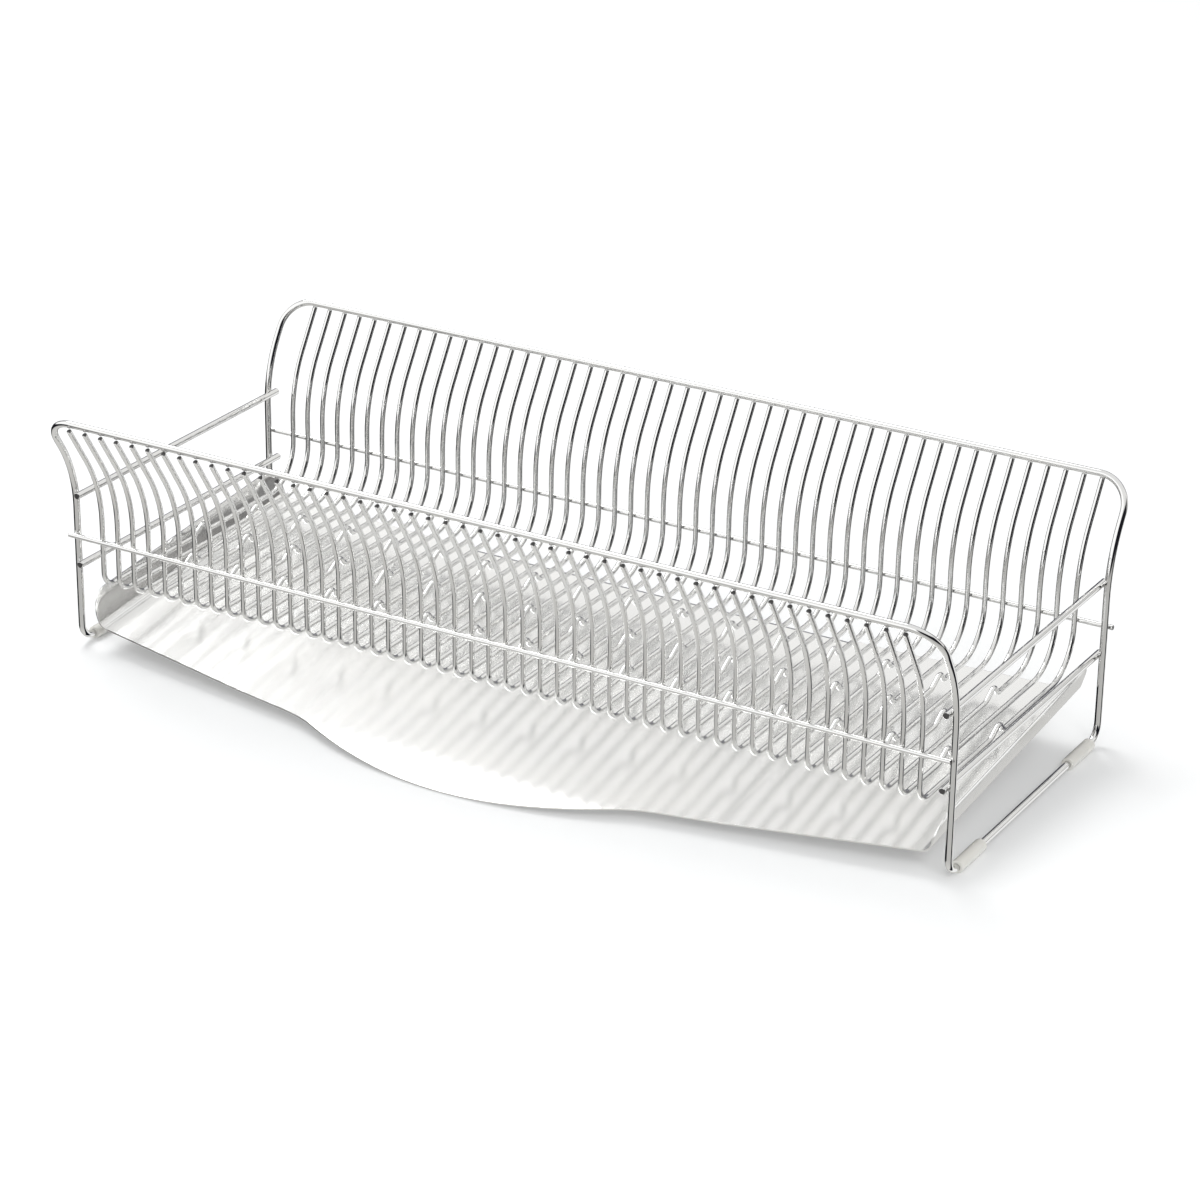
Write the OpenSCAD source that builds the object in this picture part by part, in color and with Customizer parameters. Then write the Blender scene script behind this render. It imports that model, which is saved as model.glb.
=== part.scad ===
// Dish drying rack: a welded wire basket on two end loops over a loose sloping drip tray.
// Units are millimetres. The rack stands on z = 0, +Z is up, +X runs along the length and
// -Y is the front, where the tray drains. The origin lies on the counter, midway between
// the front and back uprights and midway between the two ends.

/* [Basket] */
// number of bent wire ribs
rib_count = 49; // [25:2:49]
// distance between neighbouring ribs
rib_pitch = 11; // [10:0.5:13]
// rib wire diameter
rib_d = 3; // [2.5:0.1:3.2]
// distance from the last rib to the end frame wire
end_gap = 18.4; // [16:0.2:24]
// height of the rib floor wire axis above the counter
rib_floor_z = 41.4; // [40:0.2:60]
// inner side of the front bend where a rib turns up, axis radius
rib_front_r = 9.5; // [7:0.5:14]
// back bend where a rib turns up, axis radius
rib_back_r = 27; // [20:0.5:30]
// how far the rib ends stop short of the rail middle line
rib_end_short = 2; // [0.5:0.1:3]

/* [Frame] */
// frame wire diameter
frame_d = 4; // [3.6:0.1:4.6]
// distance between the front and back uprights
frame_depth = 194; // [180:1:230]
// height at which the frame uprights begin to flare
flare_z = 89; // [82:1:110]
// angle of the flared top, from vertical
flare_angle = 32; // [24:1:38]
// axis radius of the flare bend
flare_r = 77; // [50:1:80]
// straight length from the flare bend to the top rail
flare_len = 25.6; // [22:0.2:40]
// axis radius of the rounded top corners
corner_r = 19; // [14:0.5:21]
// axis radius of the bends down on the counter
foot_bend_r = 10; // [8:0.5:14]

/* [Plate bumps] */
// height of the bump in each rib floor
bump_h = 5; // [4.4:0.1:6.5]
// distance from the front uprights to the front row of bump crests
bump_first = 56; // [48:1:62]
// distance between the rows of bumps
bump_row = 41; // [36:1:44]
// slope of the gentle front side of a bump
bump_up_angle = 30; // [26:1:34]
// slope of the steep back side of a bump
bump_down_angle = 55; // [45:1:60]
// bend radius at the crest and behind it
bump_r = 4; // [3:0.1:4.6]
// bend radius at the foot of the gentle side
bump_foot_r = 11; // [8:0.5:12]

/* [Rails and braces] */
// height of the upper side rails
upper_rail_z = 97; // [92:1:110]
// height of the lower side rails
lower_rail_z = 53.6; // [53:0.2:70]
// side rail diameter
rail_d = 4; // [3.2:0.1:4.4]
// how far the side rails run past the uprights
rail_over = 4.5; // [2.5:0.5:8]
// height of the long braces
brace_z = 71; // [68:1:80]
// long brace diameter
brace_d = 3; // [2.4:0.1:3.6]
// how far a brace runs past the upright at its free end
brace_over = 3.8; // [0:0.2:8]
// depth to which crossing wires are sunk into each other by the welds
weld = 0.15; // [0.05:0.05:0.3]

/* [Foot sleeves] */
// outer diameter of the clear sleeves
sleeve_od = 7.4; // [6.6:0.1:8.6]
// length of a sleeve
sleeve_len = 30; // [20:1:45]
// gap between the wire and the bore of a sleeve
sleeve_gap = 0.1; // [0.05:0.05:0.2]
// distance from the foot bend to the sleeve
sleeve_off = 0.6; // [0.2:0.2:4]

/* [Drip tray] */
// sheet thickness
sheet_t = 1; // [0.8:0.1:1.2]
// gap between the top edge of a side wall and the end frame wire
tray_side_gap = 4; // [2:0.2:8]
// slope of the tray towards the front
tray_slope = 5; // [3:0.5:5.5]
// half width of the level middle panel
panel_half = 157; // [120:1:160]
// sideways tilt of the outer panels
panel_tilt = 1.8; // [0.5:0.1:2.5]
// height of the side walls above the panel corner
wall_h = 20.5; // [14:0.5:21]
// lean of the side walls, from square
wall_lean = 17; // [8:1:22]
// inner radius of the bend between panel and wall
wall_bend_r = 6; // [3:0.5:9]
// radius of the front top corner of the walls
wall_front_r = 15; // [8:0.5:15]
// radius of the back top corner of the walls
wall_back_r = 10; // [4:0.5:14]
// rear edge of the tray, behind the middle of the rack
tray_back = 96.5; // [90:0.5:100]
// front corners of the tray, in front of the middle of the rack
tray_front = 95; // [85:0.5:100]
// distance the front edge runs forward from the corners to the spout
front_rake = 28; // [15:1:30]
// half width of the spout
spout_half = 108; // [90:1:120]
// forward reach of the spout from its two root points
spout_reach = 28; // [20:0.5:29]
// radius of the downward curl of the spout
spout_curl_r = 110; // [105:1:200]
// small radius where the spout meets the front edge
spout_root_r = 14; // [8:0.5:20]
// half width of the folded rear support
stand_half = 130; // [90:1:150]
// inner radius of the rear support fold
stand_bend_r = 3; // [2:0.5:5]
// depth of the toe turned forward under the rear support
stand_toe = 9; // [5:0.5:14]
// gap kept between the tray and the counter
tray_foot_gap = 0.3; // [0.2:0.1:1]

/* [Hidden] */
$fn = 0;
$fa = 3;
$fs = 0.4;

steel = [0.80, 0.81, 0.82];
steel_sheet = [0.74, 0.75, 0.76];
clear = [0.86, 0.88, 0.84, 0.6];

rib_r = rib_d / 2;
frame_r = frame_d / 2;
rail_r = rail_d / 2;
brace_r = brace_d / 2;

// axis height of the floor runs: the sleeves stand on the counter
run_z = sleeve_od / 2;
end_x = (rib_count - 1) / 2 * rib_pitch + end_gap;
half_depth = frame_depth / 2;

// frame rise from the foot bend to the flare bend
frame_rise = flare_z - run_z - foot_bend_r;

// ribs stand with their outer faces flush with the uprights' outer faces
rib_y = half_depth + frame_r - rib_r;
// the rib flare runs parallel to the frame flare, outside the top rail
rib_offset = frame_r + rib_r - weld;
rib_drop = (rib_offset - (rib_y - half_depth) * cos(flare_angle)) / sin(flare_angle);
rib_flare_z = flare_z - rib_drop;
// straight rib length past the flare bend, up to short of the rail middle line
rib_tip = flare_len + rib_drop * cos(flare_angle)
          - (rib_y - half_depth) * sin(flare_angle) - rib_end_short;
rib_front_rise = rib_flare_z - rib_floor_z - rib_front_r;
rib_back_rise = rib_flare_z - rib_floor_z - rib_back_r;

// straight lengths of the two flanks of a bump
bump_up_len = (bump_h - (bump_foot_r + bump_r) * (1 - cos(bump_up_angle)))
              / sin(bump_up_angle);
bump_down_len = (bump_h - 2 * bump_r * (1 - cos(bump_down_angle)))
                / sin(bump_down_angle);
bump_front_len = (bump_foot_r + bump_r) * sin(bump_up_angle)
                 + bump_up_len * cos(bump_up_angle);
bump_back_len = 2 * bump_r * sin(bump_down_angle) + bump_down_len * cos(bump_down_angle);

// side rails lie against the inner faces of the uprights
rail_x = end_x - frame_r - rail_r + weld;
// braces lie against the outer faces of ribs and uprights
brace_y = half_depth + frame_r + brace_r - weld;

// a hair-thin ring bridges each joint between a straight length and a bend
ring_h = 0.3;
ring_d = 0.04;

// tray: the middle surface of the sheet, in a frame that slopes with the tray
sheet_r = wall_bend_r + sheet_t / 2;
bend_turn = 90 - wall_lean - panel_tilt;
bend_set = sheet_r * tan(bend_turn / 2);
wall_top_x = end_x - frame_r - tray_side_gap;
wall_foot_x = wall_top_x - sheet_t / 2 * cos(wall_lean) - wall_h * tan(wall_lean);
panel_rise = (wall_foot_x - panel_half) * tan(panel_tilt);
panel_len = (wall_foot_x - panel_half) / cos(panel_tilt) - bend_set;
wall_len = wall_h / cos(wall_lean) - bend_set;
wall_top_w = panel_rise + wall_h - sheet_t / 2;

// distances along the slope, from under the front uprights, backwards
slope_back = (tray_back + half_depth) / cos(tray_slope);
slope_front = (half_depth - tray_front) / cos(tray_slope);
slope_root = slope_front - front_rake;
spout_arc_r = (pow(spout_half, 2) + pow(spout_reach, 2)) / (2 * spout_reach);
spout_arc_half = asin(spout_half / spout_arc_r);

// the lip of the curled spout comes lowest and clears the counter by tray_foot_gap; the
// tray height is that of the middle panel's upper face under the front uprights
spout_dip = spout_curl_r + sheet_t / 2
            - sqrt(pow(spout_curl_r - sheet_t / 2, 2) - pow(spout_reach, 2));
tray_z = tray_foot_gap + (spout_reach - slope_root) * sin(tray_slope)
         + spout_dip * cos(tray_slope);

// rear support: folded straight down from the middle panel to just above the counter
stand_r = stand_bend_r + sheet_t / 2;
stand_drop = tray_z + (slope_back - stand_r) * sin(tray_slope)
             - (sheet_t / 2 + stand_r) * (1 + cos(tray_slope)) - tray_foot_gap;

// ---------- wire building blocks: a wire is fed along +Z and bent about its own Y ----------

module feed(len, d) {
  cylinder(h = len, d = d);
  translate([0, 0, len]) children();
}

module ring(d) {
  translate([0, 0, -ring_h / 2]) cylinder(h = ring_h, d = d + ring_d);
}

// arc of the wire towards the local direction `turn`, then the rest of the wire
module bend(r, angle, turn, d) {
  ring(d);
  rotate([0, 0, turn]) {
    translate([r, 0, 0])
      rotate([90, 0, 180])
        rotate_extrude(angle = angle)
          translate([r, 0])
            circle(d = d);
    translate([r * (1 - cos(angle)), 0, r * sin(angle)])
      rotate([0, angle, 0])
        rotate([0, 0, -turn]) {
          ring(d);
          children();
        }
  }
}

module stop() {
}

// ---------- end frames with the top rails: one closed loop of thick wire ----------

// one quarter of the loop: half a floor run, foot bend, upright, flare, half a top rail
module frame_quarter() {
  translate([end_x, 0, run_z])
    rotate([90, 0, 0])
      feed(half_depth - foot_bend_r, frame_d)
        bend(foot_bend_r, 90, 90, frame_d)
          feed(frame_rise, frame_d)
            bend(flare_r, flare_angle, -90, frame_d)
              feed(flare_len - corner_r, frame_d)
                bend(corner_r, 90, 180, frame_d)
                  feed(end_x - corner_r, frame_d)
                    ring(frame_d);
}

module frame_wire() {
  color(steel)
    for (sx = [0, 1])
      for (sy = [0, 1])
        mirror([sx, 0, 0])
          mirror([0, sy, 0])
            frame_quarter();
}

// ---------- ribs: one bent wire each, with one bump in the floor ----------

// from the foot of the bump backwards, over the bump, round the back and up to the rail
module rib_rear(floor_len) {
  rotate([-90, 0, 0])
    bend(bump_foot_r, bump_up_angle, -90, rib_d)
      feed(bump_up_len, rib_d)
        bend(bump_r, bump_up_angle + bump_down_angle, 90, rib_d)
          feed(bump_down_len, rib_d)
            bend(bump_r, bump_down_angle, -90, rib_d)
              feed(floor_len, rib_d)
                bend(rib_back_r, 90, -90, rib_d)
                  feed(rib_back_rise, rib_d)
                    bend(flare_r, flare_angle, 90, rib_d)
                      feed(rib_tip, rib_d)
                        stop();
}

// from the foot of the bump forwards, round the front and up to the front rail
module rib_front(floor_len) {
  rotate([90, 0, 0])
    feed(floor_len, rib_d)
      bend(rib_front_r, 90, 90, rib_d)
        feed(rib_front_rise, rib_d)
          bend(flare_r, flare_angle, -90, rib_d)
            feed(rib_tip, rib_d)
              stop();
}

// the bumps stand in three rows, each rib serving the next row in turn
module rib(i) {
  crest = bump_first + (i % 3) * bump_row - half_depth;
  foot = crest - bump_front_len;
  color(steel)
    translate([(i - (rib_count + 1) / 2) * rib_pitch, foot, rib_floor_z]) {
      rib_rear(rib_y - rib_back_r - crest - bump_back_len);
      rib_front(foot + rib_y - rib_front_r);
    }
}

// ---------- side rails, braces and foot sleeves ----------

module side_rail(side, z) {
  color(steel)
    translate([side * rail_x, half_depth + rail_over, z])
      rotate([90, 0, 0])
        cylinder(h = 2 * (half_depth + rail_over), d = rail_d);
}

module upper_rail_left() {
  side_rail(-1, upper_rail_z);
}

module upper_rail_right() {
  side_rail(1, upper_rail_z);
}

module lower_rail_left() {
  side_rail(-1, lower_rail_z);
}

module lower_rail_right() {
  side_rail(1, lower_rail_z);
}

// a brace is trimmed at one upright and runs past the other
module brace(free, side) {
  color(steel)
    translate([free > 0 ? -end_x : -end_x - brace_over, side * brace_y, brace_z])
      rotate([0, 90, 0])
        cylinder(h = 2 * end_x + brace_over, d = brace_d);
}

module front_brace_wire() {
  brace(-1, -1);
}

module back_brace_wire() {
  brace(1, 1);
}

// clear sleeves on the floor runs, next to the foot bends; side is -1 at the front
module foot_sleeves(side) {
  start = half_depth - foot_bend_r - sleeve_off;
  color(clear)
    for (sx = [-1, 1])
      translate([sx * end_x, side < 0 ? -start : start - sleeve_len, run_z])
        rotate([-90, 0, 0])
          difference() {
            cylinder(h = sleeve_len, d = sleeve_od);
            translate([0, 0, -1])
              cylinder(h = sleeve_len + 2, d = frame_d + 2 * sleeve_gap);
          }
}

module front_foot_sleeves() {
  foot_sleeves(-1);
}

module back_foot_sleeves() {
  foot_sleeves(1);
}

// ---------- drip tray: one folded sheet ----------

// walk a bent strip: each leg is [straight length] or [radius, turn]; gives [x, y, heading]
function walk(legs, i = 0, p = [0, 0, 0]) =
  i == len(legs) ? [p] :
  let (leg = legs[i])
  len(leg) == 1 ?
    concat([p], walk(legs, i + 1, [p[0] + leg[0] * cos(p[2]), p[1] + leg[0] * sin(p[2]), p[2]])) :
  let (
    s = sign(leg[1]),
    n = max(2, ceil(abs(leg[1]) / 7)),
    cx = p[0] - s * leg[0] * sin(p[2]),
    cy = p[1] + s * leg[0] * cos(p[2]),
    arc = [for (k = [0:n]) let (a = p[2] + leg[1] * k / n)
             [cx + s * leg[0] * sin(a), cy - s * leg[0] * cos(a), a]]
  )
  concat([for (k = [0:n - 1]) arc[k]], walk(legs, i + 1, arc[n]));

// the two faces of a strip of sheet that follows such a walk
function face(pts, off) = [for (p = pts) [p[0] - off * sin(p[2]), p[1] + off * cos(p[2])]];
function backwards(pts) = [for (k = [len(pts) - 1:-1:0]) pts[k]];
function flipped(pts) = [for (p = pts) [-p[0], p[1]]];

section_walk = walk([[panel_half - 1], [30, panel_tilt], [panel_len + 1 - 30 * panel_tilt * PI / 180],
                     [sheet_r, bend_turn], [wall_len]]);

// sheet section across the tray, open upwards
module tray_section() {
  upper = face(section_walk, sheet_t / 2);
  lower = face(section_walk, -sheet_t / 2);
  translate([0, -sheet_t / 2])
    polygon(concat(backwards(flipped(upper)), upper, backwards(lower), flipped(lower)));
}

// front edge of the sheet, seen square to the slope: two raked edges and the rounded spout
function spout_point(a) =
  [spout_arc_r * sin(a), slope_root - spout_arc_r * cos(a) + spout_arc_r - spout_reach];
function along(a, b, d) = a + (b - a) * d / norm(b - a);

module front_outline() {
  root = [spout_half, slope_root];
  corner = [wall_foot_x - bend_set, slope_front];
  root_turn = spout_root_r / spout_arc_r * 180 / PI;
  a1 = along(root, corner, spout_root_r);
  a2 = spout_point(spout_arc_half - root_turn);
  blend = [for (k = [0:8]) let (u = k / 8)
             (1 - u) * (1 - u) * a1 + 2 * u * (1 - u) * root + u * u * a2];
  half = concat(
    [[wall_top_x + 5, slope_back + 5], [wall_top_x + 5, slope_front], corner],
    blend,
    [for (k = [1:12]) spout_point((spout_arc_half - root_turn) * (1 - k / 12))]
  );
  polygon(concat(half, backwards(flipped(half))));
}

// rounded corner of a wall, as the piece to be cut away; dir is 1 at the back
module wall_corner_cut(r, s, dir) {
  arc = [for (k = [0:10]) let (a = 9 * k)
           [s + dir * (r * sin(a) - r), wall_top_w + r * cos(a) - r]];
  for (sx = [-1, 1])
    translate([sx * (wall_foot_x + 12), 0, 0])
      rotate([90, 0, 90])
        linear_extrude(height = 40, center = true)
          polygon(concat(arc, [[s + dir * 3, wall_top_w - r], [s + dir * 3, wall_top_w + 3],
                               [s - dir * r, wall_top_w + 3]]));
}

// the level middle panel with the outer panels and walls, up to the root of the spout
module tray_pan() {
  difference() {
    translate([0, slope_back, 0])
      rotate([90, 0, 0])
        linear_extrude(height = slope_back - slope_root)
          tray_section();
    wall_corner_cut(wall_front_r, slope_front, -1);
    wall_corner_cut(wall_back_r, slope_back, 1);
  }
}

// the spout curls down from the root line
module tray_spout() {
  curl = walk([[2], [spout_curl_r, -asin(spout_reach / spout_curl_r) - 2]]);
  rotate([90, 0, 90])
    linear_extrude(height = 2 * spout_half + 20, center = true)
      translate([slope_root + 2, -sheet_t / 2])
        polygon(flipped(concat(face(curl, sheet_t / 2), backwards(face(curl, -sheet_t / 2)))));
}

// rear support, folded down from the back edge of the middle panel, with a toe underneath
module tray_stand() {
  fold = walk([[2], [stand_r, -90 - tray_slope], [stand_drop], [stand_r, -90], [stand_toe]],
              0, [0, 0, tray_slope]);
  start_s = slope_back - stand_r - 2;
  translate([0, start_s * cos(tray_slope) - half_depth,
             tray_z + start_s * sin(tray_slope)])
    rotate([90, 0, 90])
      linear_extrude(height = 2 * stand_half, center = true)
        translate([sheet_t / 2 * sin(tray_slope), -sheet_t / 2 * cos(tray_slope)])
          polygon(concat(face(fold, sheet_t / 2), backwards(face(fold, -sheet_t / 2))));
}

module drip_tray() {
  color(steel_sheet) {
    translate([0, -half_depth, tray_z])
      rotate([tray_slope, 0, 0])
        intersection() {
          union() {
            tray_pan();
            tray_spout();
          }
          translate([0, 0, -60])
            linear_extrude(height = 120)
              front_outline();
        }
    tray_stand();
  }
}

// the name of rib number i
function rib_name(i) = str("rib_", i < 10 ? "0" : "", i);

frame_wire();
for (i = [1:rib_count])
  rib(i);
upper_rail_left();
upper_rail_right();
lower_rail_left();
lower_rail_right();
front_brace_wire();
back_brace_wire();
front_foot_sleeves();
back_foot_sleeves();
drip_tray();
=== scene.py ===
# %% [markdown]
# # A wire dish rack over a loose drip tray
#
# The real rack is bent and welded from polished stainless wire. A thick wire makes one closed
# loop: it stands on the counter at both ends and carries the two long rails at the top.
# Thin ribs hang between the rails and hold the plates. Below lies a folded steel tray that
# drains to the front. This lesson builds each wire by feeding a small ring of vertices
# through straight runs and bends, just as a wire bending machine would, and the tray by
# pulling a folded cross-section forwards until it ends in a curled lip.

import math

import bmesh
import bpy
from mathutils import Matrix, Vector


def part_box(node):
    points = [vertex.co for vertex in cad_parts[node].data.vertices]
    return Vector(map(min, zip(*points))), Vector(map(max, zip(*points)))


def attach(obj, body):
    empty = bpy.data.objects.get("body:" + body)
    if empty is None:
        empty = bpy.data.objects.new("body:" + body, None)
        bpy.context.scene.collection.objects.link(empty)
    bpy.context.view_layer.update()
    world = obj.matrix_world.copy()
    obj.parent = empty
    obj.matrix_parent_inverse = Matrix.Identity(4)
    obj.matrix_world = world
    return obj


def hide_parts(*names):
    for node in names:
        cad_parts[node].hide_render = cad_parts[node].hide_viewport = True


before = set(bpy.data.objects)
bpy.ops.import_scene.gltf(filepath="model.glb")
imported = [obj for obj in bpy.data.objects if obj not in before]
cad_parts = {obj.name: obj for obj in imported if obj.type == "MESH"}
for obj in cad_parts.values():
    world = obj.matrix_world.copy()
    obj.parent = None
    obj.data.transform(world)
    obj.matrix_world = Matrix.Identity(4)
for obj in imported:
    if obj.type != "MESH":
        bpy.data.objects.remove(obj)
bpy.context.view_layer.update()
MM = 0.001

# %% [markdown]
# ## Sizes shared by the wires
#
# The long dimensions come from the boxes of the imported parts, so the wires land where the
# parts are. What a box can't tell is written down here: the wire gauges and the radii that
# the bending tools leave. All of them are real sizes in metres. WELD_SINK is how deep two
# welded wires sink into each other, BURR is the width of a broken edge, and vertices nearer
# than SAME_SPOT are merged.

# %% Wire gauges, bend radii and levels
LOOP_WIRE = 4.0 * MM
RIB_WIRE = 3.0 * MM
BRACE_WIRE = 3.0 * MM
WELD_SINK = 0.15 * MM
BURR = 0.25 * MM
SAME_SPOT = 1e-6

UPRIGHT_SPAN = 194.0 * MM
FLARE_START = 89.0 * MM
FLARE_TURN = 32.0
FLARE_RADIUS = 77.0 * MM
FLARE_REACH = 25.6 * MM
CORNER_RADIUS = 19.0 * MM
FOOT_RADIUS = 10.0 * MM

_, loop_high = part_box("frame_wire")
sleeve_low, sleeve_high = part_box("front_foot_sleeves")
run_level = (sleeve_low.z + sleeve_high.z) / 2
end_plane = round((loop_high.x - LOOP_WIRE / 2) / MM, 1) * MM
half_span = UPRIGHT_SPAN / 2
rib_names = sorted(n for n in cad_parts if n.startswith("rib_"))
print("ribs:", len(rib_names), "end planes at", round(end_plane / MM, 2), "mm")
print("floor runs at", round(run_level / MM, 2), "mm above the counter")

# %% [markdown]
# ## A wire bender
#
# A wire could be a curve with a round bevel, but a curve gives no say over where its rings
# fall and leaves open or flat ends. Feeding a ring of vertices keeps every bend a true arc
# and lets each vertex carry its place along the straight wire before bending. That place is
# kept in the attribute `straight`, and the fine draw lines of the wire are painted on it, so
# they run round the bends without a seam.

# %% What an extrusion added
def new_row(made):
    """The vertices that an extrusion added, and the edges that join only those."""
    verts = [g for g in made if isinstance(g, bmesh.types.BMVert)]
    fresh = set(verts)
    edges = [
        g
        for g in made
        if isinstance(g, bmesh.types.BMEdge) and g.verts[0] in fresh and g.verts[1] in fresh
    ]
    return verts, edges


print("merge distance:", SAME_SPOT / MM, "mm")

# %% The wire bender
class WireBender:
    """Feeds a ring of vertices along straight runs and round bends."""

    def __init__(self, bm, gauge, start, heading, sides):
        self.bm = bm
        self.at = Vector(start)
        self.heading = Vector(heading).normalized()
        self.run = 0.0
        self.straight = bm.verts.layers.float_vector.get("straight")
        if self.straight is None:
            self.straight = bm.verts.layers.float_vector.new("straight")
        facing = self.heading.to_track_quat("Z", "Y").to_matrix().to_4x4()
        place = Matrix.Translation(self.at) @ facing
        made = bmesh.ops.create_circle(bm, segments=sides, radius=gauge / 2, matrix=place)
        self.ring = made["verts"]
        for v in self.ring:
            v[self.straight] = place.inverted() @ v.co
        self.rim = [e for e in bm.edges if e.verts[0] in self.ring]
        self.first_rim = list(self.rim)
        self.first_heading = -self.heading
        self.first_at = self.at.copy()

    def take(self, made):
        self.ring, self.rim = new_row(made)
        for v in self.ring:
            v[self.straight].z = self.run

    def feed(self, length, times=1):
        for _ in range(times):
            made = bmesh.ops.extrude_edge_only(self.bm, edges=self.rim)["geom"]
            step = self.heading * length / times
            self.at += step
            self.run += length / times
            self.take(made)
            bmesh.ops.translate(self.bm, verts=self.ring, vec=step)

    def bend(self, radius, degrees, towards, steps):
        side = Vector(towards)
        side = (side - side.dot(self.heading) * self.heading).normalized()
        centre = self.at + side * radius
        axis = self.heading.cross(side)
        turn = Matrix.Rotation(math.radians(degrees) / steps, 3, axis)
        for _ in range(steps):
            made = bmesh.ops.extrude_edge_only(self.bm, edges=self.rim)["geom"]
            self.run += radius * math.radians(degrees) / steps
            self.take(made)
            bmesh.ops.rotate(self.bm, verts=self.ring, cent=centre, matrix=turn)
            self.at = centre + turn @ (self.at - centre)
            self.heading = turn @ self.heading

    def cut(self, rim, at, heading, burr):
        """Closes an end with a flat face and a small broken edge."""
        made = bmesh.ops.extrude_edge_only(self.bm, edges=rim)["geom"]
        lip, edges = new_row(made)
        for v in lip:
            out = v.co - at
            v.co = at + out * (1 - burr / out.length) + heading * burr
        sheared = bmesh.ops.edgeloop_fill(self.bm, edges=edges)["faces"]
        # Slot 1 on these end faces is rough steel whose near-black colour is a painted dark
        # reflection.
        for face in sheared:
            face.material_index = 1

    def cut_both(self, burr=BURR):
        self.cut(self.rim, self.at, self.heading, burr)
        self.cut(self.first_rim, self.first_at, self.first_heading, burr)


def finish_piece(bm, name, body, stands_for=(), sharp=35.0):
    """Turns a bmesh into a smooth piece that rides on a body."""
    bmesh.ops.remove_doubles(bm, verts=bm.verts, dist=SAME_SPOT)
    bmesh.ops.recalc_face_normals(bm, faces=bm.faces)
    for face in bm.faces:
        face.smooth = True
    mesh = bpy.data.meshes.new(name)
    bm.to_mesh(mesh)
    bm.free()
    mesh.set_sharp_from_angle(angle=math.radians(sharp))
    piece = bpy.data.objects.new(name, mesh)
    bpy.context.scene.collection.objects.link(piece)
    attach(piece, body)
    if stands_for:
        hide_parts(*stands_for)
    return piece


def box_gap(piece, node):
    """The largest difference between a piece's box and its part's box, in mm."""
    low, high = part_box(node)
    co = [v.co for v in piece.data.vertices]
    gaps = []
    for axis in range(3):
        gaps.append(abs(min(c[axis] for c in co) - low[axis]))
        gaps.append(abs(max(c[axis] for c in co) - high[axis]))
    return round(max(gaps) / MM, 2)


UP, DOWN = Vector((0, 0, 1)), Vector((0, 0, -1))
BACK, FRONT = Vector((0, 1, 0)), Vector((0, -1, 0))
RIGHT, LEFT = Vector((1, 0, 0)), Vector((-1, 0, 0))
print("broken edge of a cut wire:", round(BURR / MM, 2), "mm")

# %% [markdown]
# ## The closed loop
#
# The thickest wire is a single closed loop, butt-welded and polished so that its joint
# doesn't show. The rack is the same left and right, front and back, so a quarter is enough:
# half a floor run, the foot bend, the upright, the long soft flare, the rounded corner and
# half a top rail. Two mirrors close it. The rings at the mirror planes fall on themselves
# and are merged, so the polish runs through without a break.

# %% Bend a quarter of the loop and mirror it
loop = bmesh.new()
quarter = WireBender(loop, LOOP_WIRE, (end_plane, 0, run_level), FRONT, 20)
quarter.feed(half_span - FOOT_RADIUS, 3)
quarter.bend(FOOT_RADIUS, 90, UP, 10)
quarter.feed(FLARE_START - run_level - FOOT_RADIUS, 3)
quarter.bend(FLARE_RADIUS, FLARE_TURN, FRONT, 10)
quarter.feed(FLARE_REACH - CORNER_RADIUS)
quarter.bend(CORNER_RADIUS, 90, LEFT, 14)
rail_line = quarter.at.copy()
quarter.feed(end_plane - CORNER_RADIUS, 6)
for axis in ("Y", "X"):
    whole = loop.verts[:] + loop.edges[:] + loop.faces[:]
    bmesh.ops.mirror(loop, geom=whole, axis=axis, merge_dist=SAME_SPOT)
frame_piece = finish_piece(loop, "loop_wire", "rack", ["frame_wire"])
print("loop wire is", box_gap(frame_piece, "frame_wire"), "mm off its part's box")
print("top rails at", round(rail_line.z / MM, 2), "mm, reaching", round(rail_line.y / MM, 2))

# %% [markdown]
# ## The ribs
#
# Every rib is one thin wire. It starts just below the front rail on its outer side, follows
# the flare down, turns tightly into the floor, climbs one plate bump, leaves the floor in a
# wide bend and rises to the back rail. Neighbouring ribs carry their bump in the next row,
# which gives the three staggered rows that keep plates apart. The same run of feeds and bends
# makes all of them; only the place of the bump changes. The ends are sawn, so they are cut
# flat with a small broken edge instead of being rounded.
#
# On the real rack the ribs are welded to both top rails. Here they are not, because the
# part's ribs are too short: every end stops 2 mm before the rail's middle line and stays
# about 0.7 mm clear of the rail. The pieces follow the part, so the fault shows here too.

# %% Feeds and bends of one rib
RIB_FLOOR = 41.4 * MM
RIB_FRONT_RADIUS = 9.5 * MM
RIB_BACK_RADIUS = 27.0 * MM
RIB_END_SHORT = 2.0 * MM
BUMP_RISE = 5.0 * MM
BUMP_FIRST = 56.0 * MM
BUMP_ROW = 41.0 * MM
BUMP_UP, BUMP_DOWN = 30.0, 55.0
BUMP_RADIUS = 4.0 * MM
BUMP_FOOT_RADIUS = 11.0 * MM

rib_plane = half_span + LOOP_WIRE / 2 - RIB_WIRE / 2
flare_sin, flare_cos = math.sin(math.radians(FLARE_TURN)), math.cos(math.radians(FLARE_TURN))
rib_offset = (LOOP_WIRE + RIB_WIRE) / 2 - WELD_SINK
rib_drop = (rib_offset - (rib_plane - half_span) * flare_cos) / flare_sin
rib_flare_start = FLARE_START - rib_drop
rib_tip = FLARE_REACH + rib_drop * flare_cos - (rib_plane - half_span) * flare_sin - RIB_END_SHORT
tip_out = rib_plane + FLARE_RADIUS * (1 - flare_cos) + rib_tip * flare_sin
tip_up = rib_flare_start + FLARE_RADIUS * flare_sin + rib_tip * flare_cos

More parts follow.
